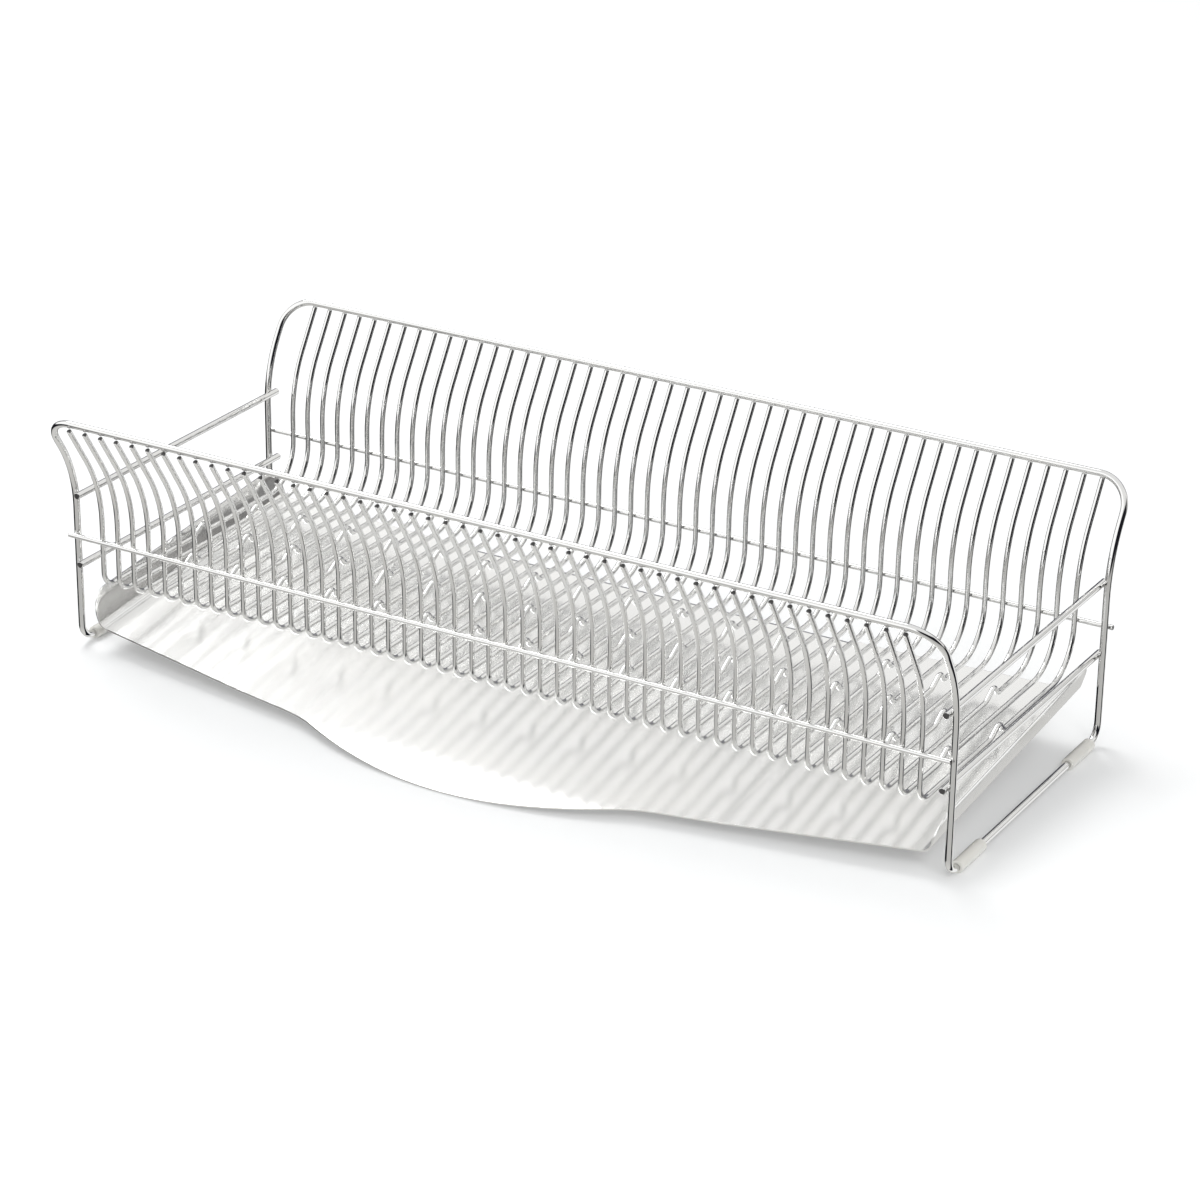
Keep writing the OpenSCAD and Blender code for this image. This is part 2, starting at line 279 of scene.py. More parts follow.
up_sin, up_cos = math.sin(math.radians(BUMP_UP)), math.cos(math.radians(BUMP_UP))
down_sin, down_cos = math.sin(math.radians(BUMP_DOWN)), math.cos(math.radians(BUMP_DOWN))
climb = (BUMP_RISE - (BUMP_FOOT_RADIUS + BUMP_RADIUS) * (1 - up_cos)) / up_sin
descent = (BUMP_RISE - 2 * BUMP_RADIUS * (1 - down_cos)) / down_sin
bump_front = (BUMP_FOOT_RADIUS + BUMP_RADIUS) * up_sin + climb * up_cos
bump_back = 2 * BUMP_RADIUS * down_sin + descent * down_cos
crests = [BUMP_FIRST + row * BUMP_ROW - half_span for row in range(3)]
print("bump crests at", [round(c / MM, 1) for c in crests], "mm from the middle")


def bend_rib(bm, across, row):
    crest = crests[row]
    wire = WireBender(bm, RIB_WIRE, (across, -tip_out, tip_up), -flare_out(FRONT), 14)
    wire.feed(rib_tip, 2)
    wire.bend(FLARE_RADIUS, FLARE_TURN, FRONT, 8)
    wire.feed(rib_flare_start - RIB_FLOOR - RIB_FRONT_RADIUS, 2)
    wire.bend(RIB_FRONT_RADIUS, 90, BACK, 9)
    wire.feed(crest - bump_front + rib_plane - RIB_FRONT_RADIUS, 3)
    wire.bend(BUMP_FOOT_RADIUS, BUMP_UP, UP, 4)
    wire.feed(climb)
    wire.bend(BUMP_RADIUS, BUMP_UP + BUMP_DOWN, DOWN, 8)
    wire.feed(descent)
    wire.bend(BUMP_RADIUS, BUMP_DOWN, UP, 6)
    wire.feed(rib_plane - RIB_BACK_RADIUS - crest - bump_back, 3)
    wire.bend(RIB_BACK_RADIUS, 90, UP, 12)
    wire.feed(rib_flare_start - RIB_FLOOR - RIB_BACK_RADIUS, 2)
    wire.bend(FLARE_RADIUS, FLARE_TURN, BACK, 8)
    wire.feed(rib_tip, 2)
    wire.cut_both()


def flare_out(side):
    """Direction of the flared top on that side, upwards."""
    return side * flare_sin + UP * flare_cos


# %% Make the ribs
rib_pieces = []
rib_places = []
for number, node in enumerate(rib_names, start=1):
    low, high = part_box(node)
    across = (low.x + high.x) / 2
    rib = bmesh.new()
    bend_rib(rib, across, number % 3)
    rib_pieces.append(finish_piece(rib, node.replace("rib", "rib_wire"), "rack", [node]))
    rib_places.append(across)
print("ribs are at most", max(box_gap(p, n) for p, n in zip(rib_pieces, rib_names)), "mm off")
print("faces in one rib:", len(rib_pieces[0].data.polygons))

# %% [markdown]
# ## Straight wires: side rails and braces
#
# Two side rails at each end tie the uprights together, and a brace runs along the front and
# the back of the ribs. On the real rack these are cut from straight wire and spot-welded
# across the others, so they only need a feed and two cut ends.

# %% Feed the straight wires
straight_nodes = {
    "upper_rail_left": LOOP_WIRE,
    "upper_rail_right": LOOP_WIRE,
    "lower_rail_left": LOOP_WIRE,
    "lower_rail_right": LOOP_WIRE,
    "front_brace_wire": BRACE_WIRE,
    "back_brace_wire": BRACE_WIRE,
}
straight_pieces = {}
for node, gauge in straight_nodes.items():
    low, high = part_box(node)
    middle = (low + high) / 2
    along = RIGHT if high.x - low.x > high.y - low.y else BACK
    length = (high - low).dot(along) - 2 * BURR
    bar = bmesh.new()
    wire = WireBender(bar, gauge, middle - along * length / 2, along, 18)
    wire.feed(length, 12)
    wire.cut_both()
    piece = finish_piece(bar, node.replace("_wire", "") + "_bar", "rack", [node])
    straight_pieces[node] = piece
    print(node, "is", round((length + 2 * BURR) / MM, 1), "mm long,", box_gap(piece, node), "off")

# %% [markdown]
# ## Weld spots
#
# Where two wires cross they are resistance-welded: a current melts the touching spot and
# the wires sink into each other. What shows is a small squeezed bead on both sides of the
# contact. Two hundred of them are needed, so each is only a squashed ball with a few
# dozen faces, laid between the two wires and turned so that its flat side follows them.
# The beads at the top rails sit on the rail alone, because the ribs stop short of it.

# %% A bead at a crossing
BEAD_SEGMENTS, BEAD_RINGS = 8, 5
BEAD_STRETCH = 1.25
BEAD_SIZES = {
    "rib at top rail": (1.0 * MM, 0.75 * MM),
    "rib on brace": (0.95 * MM, 0.6 * MM),
    "side rail on upright": (1.3 * MM, 0.9 * MM),
    "brace on upright": (1.2 * MM, 0.8 * MM),
}
weld_beads = bmesh.new()


def add_bead(at, away, along, crossing):
    """A squashed ball at a crossing; away points from one wire to the other."""
    size, thickness = BEAD_SIZES[crossing]
    away, along = Vector(away).normalized(), Vector(along).normalized()
    across = away.cross(along).normalized()
    turn = Matrix((across, along, away)).transposed().to_4x4()
    squash = Matrix.Diagonal((size, size * BEAD_STRETCH, thickness, 1.0))
    bmesh.ops.create_uvsphere(
        weld_beads,
        u_segments=BEAD_SEGMENTS,
        v_segments=BEAD_RINGS,
        radius=1.0,
        matrix=Matrix.Translation(at) @ turn @ squash,
    )


print("bead kinds:", list(BEAD_SIZES))

# %% Beads at every crossing
wire_middle = {n: (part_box(n)[0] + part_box(n)[1]) / 2 for n in straight_nodes}
for across in rib_places:
    for side in (FRONT, BACK):
        rail = Vector((across, rail_line.y * (-side.y), rail_line.z))
        out = (side * flare_cos - UP * flare_sin).normalized()
        on_rail = rail + out * (LOOP_WIRE / 2 - WELD_SINK / 2)
        add_bead(on_rail, out, RIGHT, "rib at top rail")
        node = "front_brace_wire" if side is FRONT else "back_brace_wire"
        contact = Vector((across, side.y * (rib_plane + RIB_WIRE / 2), wire_middle[node].z))
        add_bead(contact, side, RIGHT, "rib on brace")

for side_name, side in (("left", LEFT), ("right", RIGHT)):
    for level in ("upper", "lower"):
        height = wire_middle[f"{level}_rail_{side_name}"].z
        for depth in (FRONT, BACK):
            contact = Vector((side.x * (end_plane - LOOP_WIRE / 2), depth.y * half_span, height))
            add_bead(contact, side, UP, "side rail on upright")
    for depth, node in ((FRONT, "front_brace_wire"), (BACK, "back_brace_wire")):
        height = wire_middle[node].z
        contact = Vector((side.x * end_plane, depth.y * (half_span + LOOP_WIRE / 2), height))
        add_bead(contact, depth, RIGHT, "brace on upright")
bead_piece = finish_piece(weld_beads, "weld_beads", "rack")
print("weld beads:", len(bead_piece.data.polygons) // (BEAD_SEGMENTS * BEAD_RINGS))

# %% [markdown]
# ## The drip tray
#
# The tray is one sheet of steel. A press brake folds two shallow creases, so the outer
# panels shed water to the middle, and bends up the leaning side walls; the front is cut to a
# raked edge with a rounded lip, and the lip is rolled down so that water leaves it in one
# place. The sheet is drawn here the same way: half a folded section is walked from the
# middle outwards, mirrored, and pulled forwards row by row. Each row may be moved, which
# gives the raked edge, the lip and the rounded wall corners. Solidify then gives the gauge of
# the sheet and Bevel breaks its sheared edges.

# %% Sizes of the tray
SHEET = 1.0 * MM
TRAY_SLOPE = math.radians(5.0)
PANEL_HALF = 157.0 * MM
PANEL_TILT = math.radians(1.8)
WALL_RISE = 20.5 * MM
WALL_LEAN = math.radians(17.0)
WALL_BEND = 6.0 * MM
WALL_FRONT_ROUND = 15.0 * MM
WALL_BACK_ROUND = 10.0 * MM
TRAY_BACK, TRAY_FRONT = 96.5 * MM, 95.0 * MM
FRONT_RAKE = 28.0 * MM
LIP_HALF, LIP_REACH = 108.0 * MM, 28.0 * MM
LIP_CURL = 110.0 * MM
LIP_ROOT = 14.0 * MM
STAND_HALF, STAND_BEND, STAND_TOE = 130.0 * MM, 3.0 * MM, 9.0 * MM
COUNTER_GAP = 0.3 * MM
CREASE_RADIUS, CREASE_START = 30.0 * MM, 1.0 * MM
RAKE_ZONE = 20.0 * MM
LIP_STEPS, ROOT_STEPS = 40, 12

tray_low, tray_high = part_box("drip_tray")
wall_top = tray_high.x
neutral = WALL_BEND + SHEET / 2
bend_turn = math.pi / 2 - WALL_LEAN - PANEL_TILT
bend_set = neutral * math.tan(bend_turn / 2)
wall_foot = wall_top - SHEET / 2 * math.cos(WALL_LEAN) - WALL_RISE * math.tan(WALL_LEAN)
panel_run = (wall_foot - PANEL_HALF) / math.cos(PANEL_TILT) - bend_set
wall_run = WALL_RISE / math.cos(WALL_LEAN) - bend_set
slope_back = (TRAY_BACK + half_span) / math.cos(TRAY_SLOPE)
slope_front = (half_span - TRAY_FRONT) / math.cos(TRAY_SLOPE)
slope_root = slope_front - FRONT_RAKE
lip_radius = (LIP_HALF**2 + LIP_REACH**2) / (2 * LIP_REACH)
lip_dip = LIP_CURL + SHEET / 2 - math.sqrt((LIP_CURL - SHEET / 2) ** 2 - LIP_REACH**2)
tray_level = (
    COUNTER_GAP
    + (LIP_REACH - slope_root) * math.sin(TRAY_SLOPE)
    + lip_dip * math.cos(TRAY_SLOPE)
)
print("tray panel under the front uprights is", round(tray_level / MM, 2), "mm up")

# %% The front edge and the curl of the lip
half_angle = math.asin(LIP_HALF / lip_radius)
root_angle = LIP_ROOT / lip_radius
edge_corner = (wall_foot - bend_set, slope_front)


def lip_point(angle):
    return (
        lip_radius * math.sin(angle),
        slope_root - lip_radius * math.cos(angle) + lip_radius - LIP_REACH,
    )


root = Vector((LIP_HALF, slope_root))
toward_corner = (Vector(edge_corner) - root).normalized() * LIP_ROOT
leave, join = root + toward_corner, Vector(lip_point(half_angle - root_angle))
front_edge = [lip_point((half_angle - root_angle) * k / LIP_STEPS) for k in range(LIP_STEPS)]
for k in range(ROOT_STEPS + 1):
    u = k / ROOT_STEPS
    front_edge.append(tuple(join * (1 - u) ** 2 + root * 2 * u * (1 - u) + leave * u * u))
front_edge += [edge_corner, (1.0, slope_front)]


def edge_at(across):
    """How far forward the sheet reaches at a distance from the middle."""
    across = abs(across)
    for (x0, s0), (x1, s1) in zip(front_edge, front_edge[1:]):
        if across <= x1:
            return s0 + (s1 - s0) * (across - x0) / (x1 - x0)
    return slope_front


def curl_at(slope):
    """How far the rolled lip has dropped below the panel."""
    past = max(0.0, slope_root - slope)
    outer = LIP_CURL + SHEET / 2
    return math.sqrt(outer**2 - past**2) - outer


print("lip reaches", round(edge_at(0) / MM, 1), "and drops", round(curl_at(edge_at(0)) / MM, 2))

# %% Walk half of the folded section
tray = bmesh.new()
start = tray.verts.new((0, slope_back, 0))
walker = {"vert": start, "heading": 0.0}


def walk(length, times):
    for _ in range(times):
        made = bmesh.ops.extrude_vert_indiv(tray, verts=[walker["vert"]])
        walker["vert"] = made["verts"][0]
        step = Vector((math.cos(walker["heading"]), 0, math.sin(walker["heading"])))
        bmesh.ops.translate(tray, verts=made["verts"], vec=step * length / times)


def fold(radius, turn, times):
    rise = Vector((-math.sin(walker["heading"]), 0, math.cos(walker["heading"])))
    centre = walker["vert"].co + rise * radius
    for _ in range(times):
        made = bmesh.ops.extrude_vert_indiv(tray, verts=[walker["vert"]])
        walker["vert"] = made["verts"][0]
        spin = Matrix.Rotation(-turn / times, 3, "Y")
        bmesh.ops.rotate(tray, verts=made["verts"], cent=centre, matrix=spin)
        walker["heading"] += turn / times


walk(PANEL_HALF - CREASE_START, 52)
fold(CREASE_RADIUS, PANEL_TILT, 2)
walk(panel_run + CREASE_START - CREASE_RADIUS * PANEL_TILT, 24)
fold(WALL_BEND, bend_turn, 12)
wall_start = walker["vert"].co.copy()
walk(wall_run, 3)
wall_edge = walker["vert"].co.copy()
bmesh.ops.mirror(tray, geom=tray.verts[:] + tray.edges[:], axis="X", merge_dist=SAME_SPOT)
print("section vertices:", len(tray.verts), "wall edge at", [round(c / MM, 1) for c in wall_edge])

# %% Pull the section forwards
straight = tray.verts.layers.float_vector.new("straight")
section = list(tray.edges)
rows = []
row_verts = list(tray.verts)
for v in row_verts:
    v[straight] = v.co.copy()
rows.append(row_verts)
BACK_STEPS, MIDDLE_STEPS, FRONT_STEPS = 8, 12, 18
round_front = slope_front + RAKE_ZONE
stations = [
    slope_back - WALL_BACK_ROUND * (1 - math.cos(math.pi / 2 * k / BACK_STEPS))
    for k in range(1, BACK_STEPS + 1)
]
gap = stations[-1] - round_front
stations += [stations[-1] - gap * k / MIDDLE_STEPS for k in range(1, MIDDLE_STEPS + 1)]
fractions = [None] * len(stations)
for k in range(1, FRONT_STEPS + 1):
    behind = WALL_FRONT_ROUND * (1 - math.sin(math.pi / 2 * k / FRONT_STEPS))
    share = 1 - behind / RAKE_ZONE
    if k == 1:
        fractions.append(share / 2)
        stations.append(round_front - RAKE_ZONE * share / 2)
    fractions.append(share)
    stations.append(slope_front + behind)
for station, share in zip(stations, fractions):
    made = bmesh.ops.extrude_edge_only(tray, edges=section)["geom"]
    row_verts, section = new_row(made)
    for v in row_verts:
        v.co.y = station
    if share is not None:
        for v in row_verts:
            v.co.y = round_front - share * (round_front - edge_at(v.co.x))
    rows.append(row_verts)
print("rows:", len(rows), "faces:", len(tray.faces))

# %% Round the wall corners, trim for the fold at the back and roll the lip
for v in tray.verts:
    s = v.co.y
    if abs(v.co.x) > wall_start.x and v.co.z > wall_start.z + SAME_SPOT:
        share = (v.co.z - wall_start.z) / (wall_edge.z - wall_start.z)
        limit = wall_edge.z
        ahead = WALL_FRONT_ROUND - (s - slope_front)
        behind = WALL_BACK_ROUND - (slope_back - s)
        if ahead > 0:
            arc = math.sqrt(max(0.0, WALL_FRONT_ROUND**2 - ahead**2))
            limit = wall_edge.z - WALL_FRONT_ROUND + arc
        if behind > 0:
            arc = math.sqrt(max(0.0, WALL_BACK_ROUND**2 - behind**2))
            limit = wall_edge.z - WALL_BACK_ROUND + arc
        height = wall_start.z + share * (limit - wall_start.z)
        out = wall_start.x + (height - wall_start.z) * math.tan(WALL_LEAN)
        v.co.x = math.copysign(out, v.co.x)
        v.co.z = height
    elif abs(v.co.x) < STAND_HALF and s > slope_back - WALL_BACK_ROUND:
        near = slope_back - WALL_BACK_ROUND
        v.co.y = near + (s - near) * (1 - (STAND_BEND + SHEET) / WALL_BACK_ROUND)
    v.co.z += curl_at(v.co.y)
    v[straight] = v.co.copy()
print("wall edge above the panel:", round(max(v.co.z for v in tray.verts) / MM, 1), "mm")

# %% Fold the rear support down from the back edge
OUTER_FOLD = STAND_BEND + SHEET
stand_drop = (
    tray_level
    + (slope_back - STAND_BEND - SHEET / 2) * math.sin(TRAY_SLOPE)
    - (SHEET + STAND_BEND) * (1 + math.cos(TRAY_SLOPE))
    - COUNTER_GAP
)
back_edge = [
    e
    for e in tray.edges
    if len(e.link_faces) == 1
    and all(abs(v.co.x) < STAND_HALF and v.co.y > slope_back - OUTER_FOLD - 1e-5 for v in e.verts)
]
centre = Vector((0, slope_back - OUTER_FOLD, -OUTER_FOLD))


def next_flange_row(edges, length):
    """Adds a row to the flange; its place on the flat sheet is one length further back."""
    made = bmesh.ops.extrude_edge_only(tray, edges=edges)["geom"]
    verts, edges = new_row(made)
    for v in verts:
        v[straight] = v[straight] + BACK * length
    return verts, edges


def fold_flange(edges, turn, centre, times):
    for _ in range(times):
        verts, edges = next_flange_row(edges, OUTER_FOLD * turn / times)
        spin = Matrix.Rotation(-turn / times, 3, "X")
        bmesh.ops.rotate(tray, verts=verts, cent=centre, matrix=spin)
    return verts, edges


verts, edges = fold_flange(back_edge, math.pi / 2 + TRAY_SLOPE, centre, 9)
down = Vector((0, -math.sin(TRAY_SLOPE), -math.cos(TRAY_SLOPE)))
forward = Vector((0, -math.cos(TRAY_SLOPE), math.sin(TRAY_SLOPE)))
verts, edges = next_flange_row(edges, stand_drop)
bmesh.ops.translate(tray, verts=verts, vec=down * stand_drop)
verts, edges = fold_flange(edges, math.pi / 2, verts[0].co + forward * OUTER_FOLD, 8)
verts, edges = next_flange_row(edges, STAND_TOE)
bmesh.ops.translate(tray, verts=verts, vec=forward * STAND_TOE)
print("rear support drops", round(stand_drop / MM, 1), "mm; faces now", len(tray.faces))

# %% Set the sheet on its slope and give it its gauge
place = Matrix.Translation((0, -half_span, tray_level)) @ Matrix.Rotation(TRAY_SLOPE, 4, "X")
bmesh.ops.transform(tray, matrix=place, verts=tray.verts)
tray_piece = finish_piece(tray, "folded_tray", "tray", ["drip_tray"], sharp=60)
if sum(p.normal.z * p.area for p in tray_piece.data.polygons) < 0:
    tray_piece.data.flip_normals()
thicken = tray_piece.modifiers.new("gauge of the sheet", "SOLIDIFY")
thicken.thickness = SHEET
thicken.offset = -1.0
thicken.use_even_offset = True
soften = tray_piece.modifiers.new("broken edges", "BEVEL")
soften.width = BURR
soften.segments = 2
soften.limit_method = "ANGLE"
soften.angle_limit = math.radians(60)
bpy.context.view_layer.update()
shown = tray_piece.evaluated_get(bpy.context.evaluated_depsgraph_get())
corners = [shown.matrix_world @ Vector(c) for c in shown.bound_box]
print("tray low", [round(min(c[i] for c in corners) / MM, 1) for i in range(3)])
print("tray high", [round(max(c[i] for c in corners) / MM, 1) for i in range(3)])
print("its part", [round(c / MM, 1) for c in (*tray_low, *tray_high)])

# %% [markdown]
# ## The clear sleeves
#
# Short lengths of soft clear tube are pushed over the floor runs so that the wire doesn't
# scratch the counter. A tube is a wall turned about the wire: the wall's outline, with its
# two cut edges slightly broken, is spun once round the wire.

# %% Spin the sleeves
SLEEVE_BORE = 2.1 * MM
SLEEVE_BREAK = 0.35 * MM


def spin_sleeve(bm, side_x, low_y, high_y, outer):
    axis_point = Vector((side_x * end_plane, 0, run_level))
    outline = [
        (SLEEVE_BORE, low_y),
        (outer - SLEEVE_BREAK, low_y),
        (outer, low_y + SLEEVE_BREAK),
        (outer, high_y - SLEEVE_BREAK),
        (outer - SLEEVE_BREAK, high_y),
        (SLEEVE_BORE, high_y),
    ]
    verts = [bm.verts.new(axis_point + Vector((r, y, 0))) for r, y in outline]
    edges = [bm.edges.new((a, b)) for a, b in zip(verts, verts[1:] + verts[:1])]
    bmesh.ops.spin(
        bm,
        geom=verts + edges,
        cent=axis_point,
        axis=BACK,
        dvec=(0, 0, 0),
        angle=math.tau,
        steps=32,
        use_merge=True,
        use_duplicate=False,
    )


sleeve_pieces = []
for node in ("front_foot_sleeves", "back_foot_sleeves"):
    low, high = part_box(node)
    tubes = bmesh.new()
    for side_x in (-1, 1):
        spin_sleeve(tubes, side_x, low.y, high.y, (high.z - low.z) / 2)
    sleeve_pieces.append(finish_piece(tubes, node.replace("foot", "clear"), "rack", [node]))
    print(node, "is", box_gap(sleeve_pieces[-1], node), "mm off its part's box")

# %% [markdown]
# ## Finishes
#
# Polished stainless wire is a metal that mirrors its surroundings, with two small faults
# that make it real: the draw lines that the die leaves along the wire, and a faint cloud
# left by the polish. Both are fine noise, so one node group makes them and every metal here
# sets its own scale and strength. The group reads a vector: the wires pass `straight`, their
# place on the wire before bending, so the lines follow each bend.

# %% The metal surface group
def build_metal_surface():
    """Draw lines and polish clouds from one coordinate."""
    group = bpy.data.node_groups.new("metal_surface", "ShaderNodeTree")
    face = group.interface
    face.new_socket("Place", in_out="INPUT", socket_type="NodeSocketVector")
    for name, value in (
        ("Line Density", 900.0),
        ("Line Stretch", 0.02),
        ("Cloud Size", 60.0),
        ("Roughness Low", 0.1),
        ("Roughness High", 0.2),
        ("Line Share", 0.5),
    ):
        made = face.new_socket(name, in_out="INPUT", socket_type="NodeSocketFloat")
        made.default_value = value
    face.new_socket("Roughness", in_out="OUTPUT", socket_type="NodeSocketFloat")
    face.new_socket("Lines", in_out="OUTPUT", socket_type="NodeSocketFloat")
    face.new_socket("Clouds", in_out="OUTPUT", socket_type="NodeSocketFloat")
    nodes, links = group.nodes, group.links
    given = nodes.new("NodeGroupInput")
    result = nodes.new("NodeGroupOutput")
    split = nodes.new("ShaderNodeSeparateXYZ")
    links.new(given.outputs["Place"], split.inputs[0])
    stretched = nodes.new("ShaderNodeMath")
    stretched.operation = "MULTIPLY"
    links.new(split.outputs["Z"], stretched.inputs[0])
    links.new(given.outputs["Line Stretch"], stretched.inputs[1])
    joined = nodes.new("ShaderNodeCombineXYZ")
    links.new(split.outputs["X"], joined.inputs["X"])
    links.new(split.outputs["Y"], joined.inputs["Y"])
    links.new(stretched.outputs[0], joined.inputs["Z"])
    lines = nodes.new("ShaderNodeTexNoise")
    lines.inputs["Detail"].default_value = 3.0
    links.new(joined.outputs[0], lines.inputs["Vector"])
    links.new(given.outputs["Line Density"], lines.inputs["Scale"])
    clouds = nodes.new("ShaderNodeTexNoise")
    clouds.inputs["Detail"].default_value = 4.0
    links.new(given.outputs["Place"], clouds.inputs["Vector"])
    links.new(given.outputs["Cloud Size"], clouds.inputs["Scale"])
    both = nodes.new("ShaderNodeMix")
    both.data_type = "FLOAT"
    links.new(given.outputs["Line Share"], both.inputs["Factor"])
    links.new(clouds.outputs["Fac"], both.inputs["A"])
    links.new(lines.outputs["Fac"], both.inputs["B"])
    spread = nodes.new("ShaderNodeMapRange")
    spread.inputs["From Min"].default_value = 0.3
    spread.inputs["From Max"].default_value = 0.7
    links.new(both.outputs["Result"], spread.inputs["Value"])
    links.new(given.outputs["Roughness Low"], spread.inputs["To Min"])
    links.new(given.outputs["Roughness High"], spread.inputs["To Max"])
    links.new(spread.outputs["Result"], result.inputs["Roughness"])
    links.new(lines.outputs["Fac"], result.inputs["Lines"])
    links.new(clouds.outputs["Fac"], result.inputs["Clouds"])
    return group


metal_surface = build_metal_surface()
sockets = metal_surface.interface.items_tree
print("group outputs:", [s.name for s in sockets if s.in_out == "OUTPUT"])

# %% [markdown]
# The metals share one recipe. A Principled shader with Metallic at 1 takes its roughness
# and a very small bump from the group, and its colour swings a few percent with the clouds,
# between a cooler and a warmer steel. Only the numbers differ from wire to sheet. The faces
# where a wire was sheared off are rougher, and their near-black colour is a painted dark
# reflection of the room.

# %% Steel made to order
def make_steel(name, place, cool, warm, numbers, bump_depth):
    """A stainless finish; place is the attribute it reads, or None for Object coordinates."""
    steel = bpy.data.materials.new(name)
    steel.use_nodes = True
    nodes, links = steel.node_tree.nodes, steel.node_tree.links
    shader = nodes["Principled BSDF"]
    shader.inputs["Metallic"].default_value = 1.0
    surface = nodes.new("ShaderNodeGroup")
    surface.node_tree = metal_surface
    for key, value in numbers.items():
        surface.inputs[key].default_value = value
    if place:
        where = nodes.new("ShaderNodeAttribute")
        where.attribute_name = place
        links.new(where.outputs["Vector"], surface.inputs["Place"])
    else:
        where = nodes.new("ShaderNodeTexCoord")
        links.new(where.outputs["Object"], surface.inputs["Place"])
    tint = nodes.new("ShaderNodeMix")
    tint.data_type = "RGBA"
    tint.inputs["A"].default_value = (*cool, 1)
    tint.inputs["B"].default_value = (*warm, 1)
    links.new(surface.outputs["Clouds"], tint.inputs["Factor"])
    links.new(tint.outputs["Result"], shader.inputs["Base Color"])
    links.new(surface.outputs["Roughness"], shader.inputs["Roughness"])
    bump = nodes.new("ShaderNodeBump")
    bump.inputs["Strength"].default_value = 0.15
    bump.inputs["Distance"].default_value = bump_depth
    links.new(surface.outputs["Lines"], bump.inputs["Height"])
    links.new(bump.outputs["Normal"], shader.inputs["Normal"])
    return steel


wire_numbers = {
    "Line Density": 1400.0,
    "Line Stretch": 0.015,
    "Cloud Size": 45.0,
    "Roughness Low": 0.03,
    "Roughness High": 0.08,
    "Line Share": 0.55,
}
polished_wire = make_steel(
    "polished_wire",
    "straight",
    (0.72, 0.73, 0.74),
    (0.76, 0.75, 0.725),
    wire_numbers,
    0.001 * MM,
)
sheet_numbers = {
    "Line Density": 3000.0,
    "Line Stretch": 1.0,
    "Cloud Size": 14.0,
    "Roughness Low": 0.15,
    "Roughness High": 0.20,
    "Line Share": 0.4,
}
satin_sheet = make_steel(
    "satin_sheet",
    "straight",
    (0.84, 0.845, 0.85),
    (0.865, 0.86, 0.84),
    sheet_numbers,
    0.0005 * MM,
)
weld_numbers = dict(wire_numbers)
weld_numbers.update({"Roughness Low": 0.25, "Roughness High": 0.4, "Cloud Size": 300.0})
weld_steel = make_steel(
    "weld_steel",
    None,
    (0.50, 0.50, 0.51),
    (0.66, 0.65, 0.63),
    weld_numbers,
    0.03 * MM,
)
shear_numbers = dict(wire_numbers)
shear_numbers.update({"Roughness Low": 0.35, "Roughness High": 0.5, "Line Stretch": 1.0})
# The cut faces are rougher, and their near-black colour is a painted dark reflection of the room.
sheared_end = make_steel(
    "sheared_end",
    None,
    (0.07, 0.07, 0.075),
    (0.16, 0.155, 0.15),
    shear_numbers,
    0.05 * MM,
)
print("steels:", *(m.name for m in (polished_wire, satin_sheet, weld_steel, sheared_end)))

# %% [markdown]
# Soft clear tube is not window glass: it is faintly yellow, its surface is slightly
# waxy, and dust and handling leave it cloudier in places. Transmission stays a plain value,
# and the clouds only move the roughness and the tint.

# %% Clear sleeve material
clear_sleeve = bpy.data.materials.new("clear_sleeve")
clear_sleeve.use_nodes = True
nodes, links = clear_sleeve.node_tree.nodes, clear_sleeve.node_tree.links
shader = nodes["Principled BSDF"]
shader.inputs["Transmission Weight"].default_value = 0.2
shader.inputs["IOR"].default_value = 1.46
where = nodes.new("ShaderNodeTexCoord")
haze = nodes.new("ShaderNodeTexNoise")
haze.inputs["Scale"].default_value = 180.0
haze.inputs["Detail"].default_value = 4.0
links.new(where.outputs["Object"], haze.inputs["Vector"])
tint = nodes.new("ShaderNodeMix")
tint.data_type = "RGBA"
tint.inputs["A"].default_value = (0.98, 0.975, 0.94, 1)
tint.inputs["B"].default_value = (0.96, 0.94, 0.87, 1)
links.new(haze.outputs["Fac"], tint.inputs["Factor"])
links.new(tint.outputs["Result"], shader.inputs["Base Color"])
waxy = nodes.new("ShaderNodeMapRange")
waxy.inputs["To Min"].default_value = 0.10
waxy.inputs["To Max"].default_value = 0.20
links.new(haze.outputs["Fac"], waxy.inputs["Value"])
links.new(waxy.outputs["Result"], shader.inputs["Roughness"])
print("sleeve transmission:", shader.inputs["Transmission Weight"].default_value)

# %% Give every piece its finish
def dress(piece, slot_name, *materials):
    for material in materials:
        piece.data.materials.append(material)


dress(frame_piece, "polished_wire", polished_wire)
for piece in [*rib_pieces, *straight_pieces.values()]:
    dress(piece, "polished_wire", polished_wire, sheared_end)
dress(bead_piece, "polished_wire", weld_steel)
dress(tray_piece, "satin_sheet", satin_sheet)
for piece in sleeve_pieces:
    dress(piece, "clear_sleeve", clear_sleeve)
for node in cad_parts.values():
    if not node.hide_render:
        print("still shown as CAD:", node.name)

# %% [markdown]
# ## Studio
#
# Polished wire shows nothing but what is around it, so the surroundings are part of the
# finish. The setting is the usual white one for kitchen goods: a white table top and a large
# bright room. Black cards stand low around the rack, where they draw the dark lines along
# the wires. The metal mirrors the room and its cards, and the table top is kept out of its
# reflections, so that each card's place decides where a dark line falls.

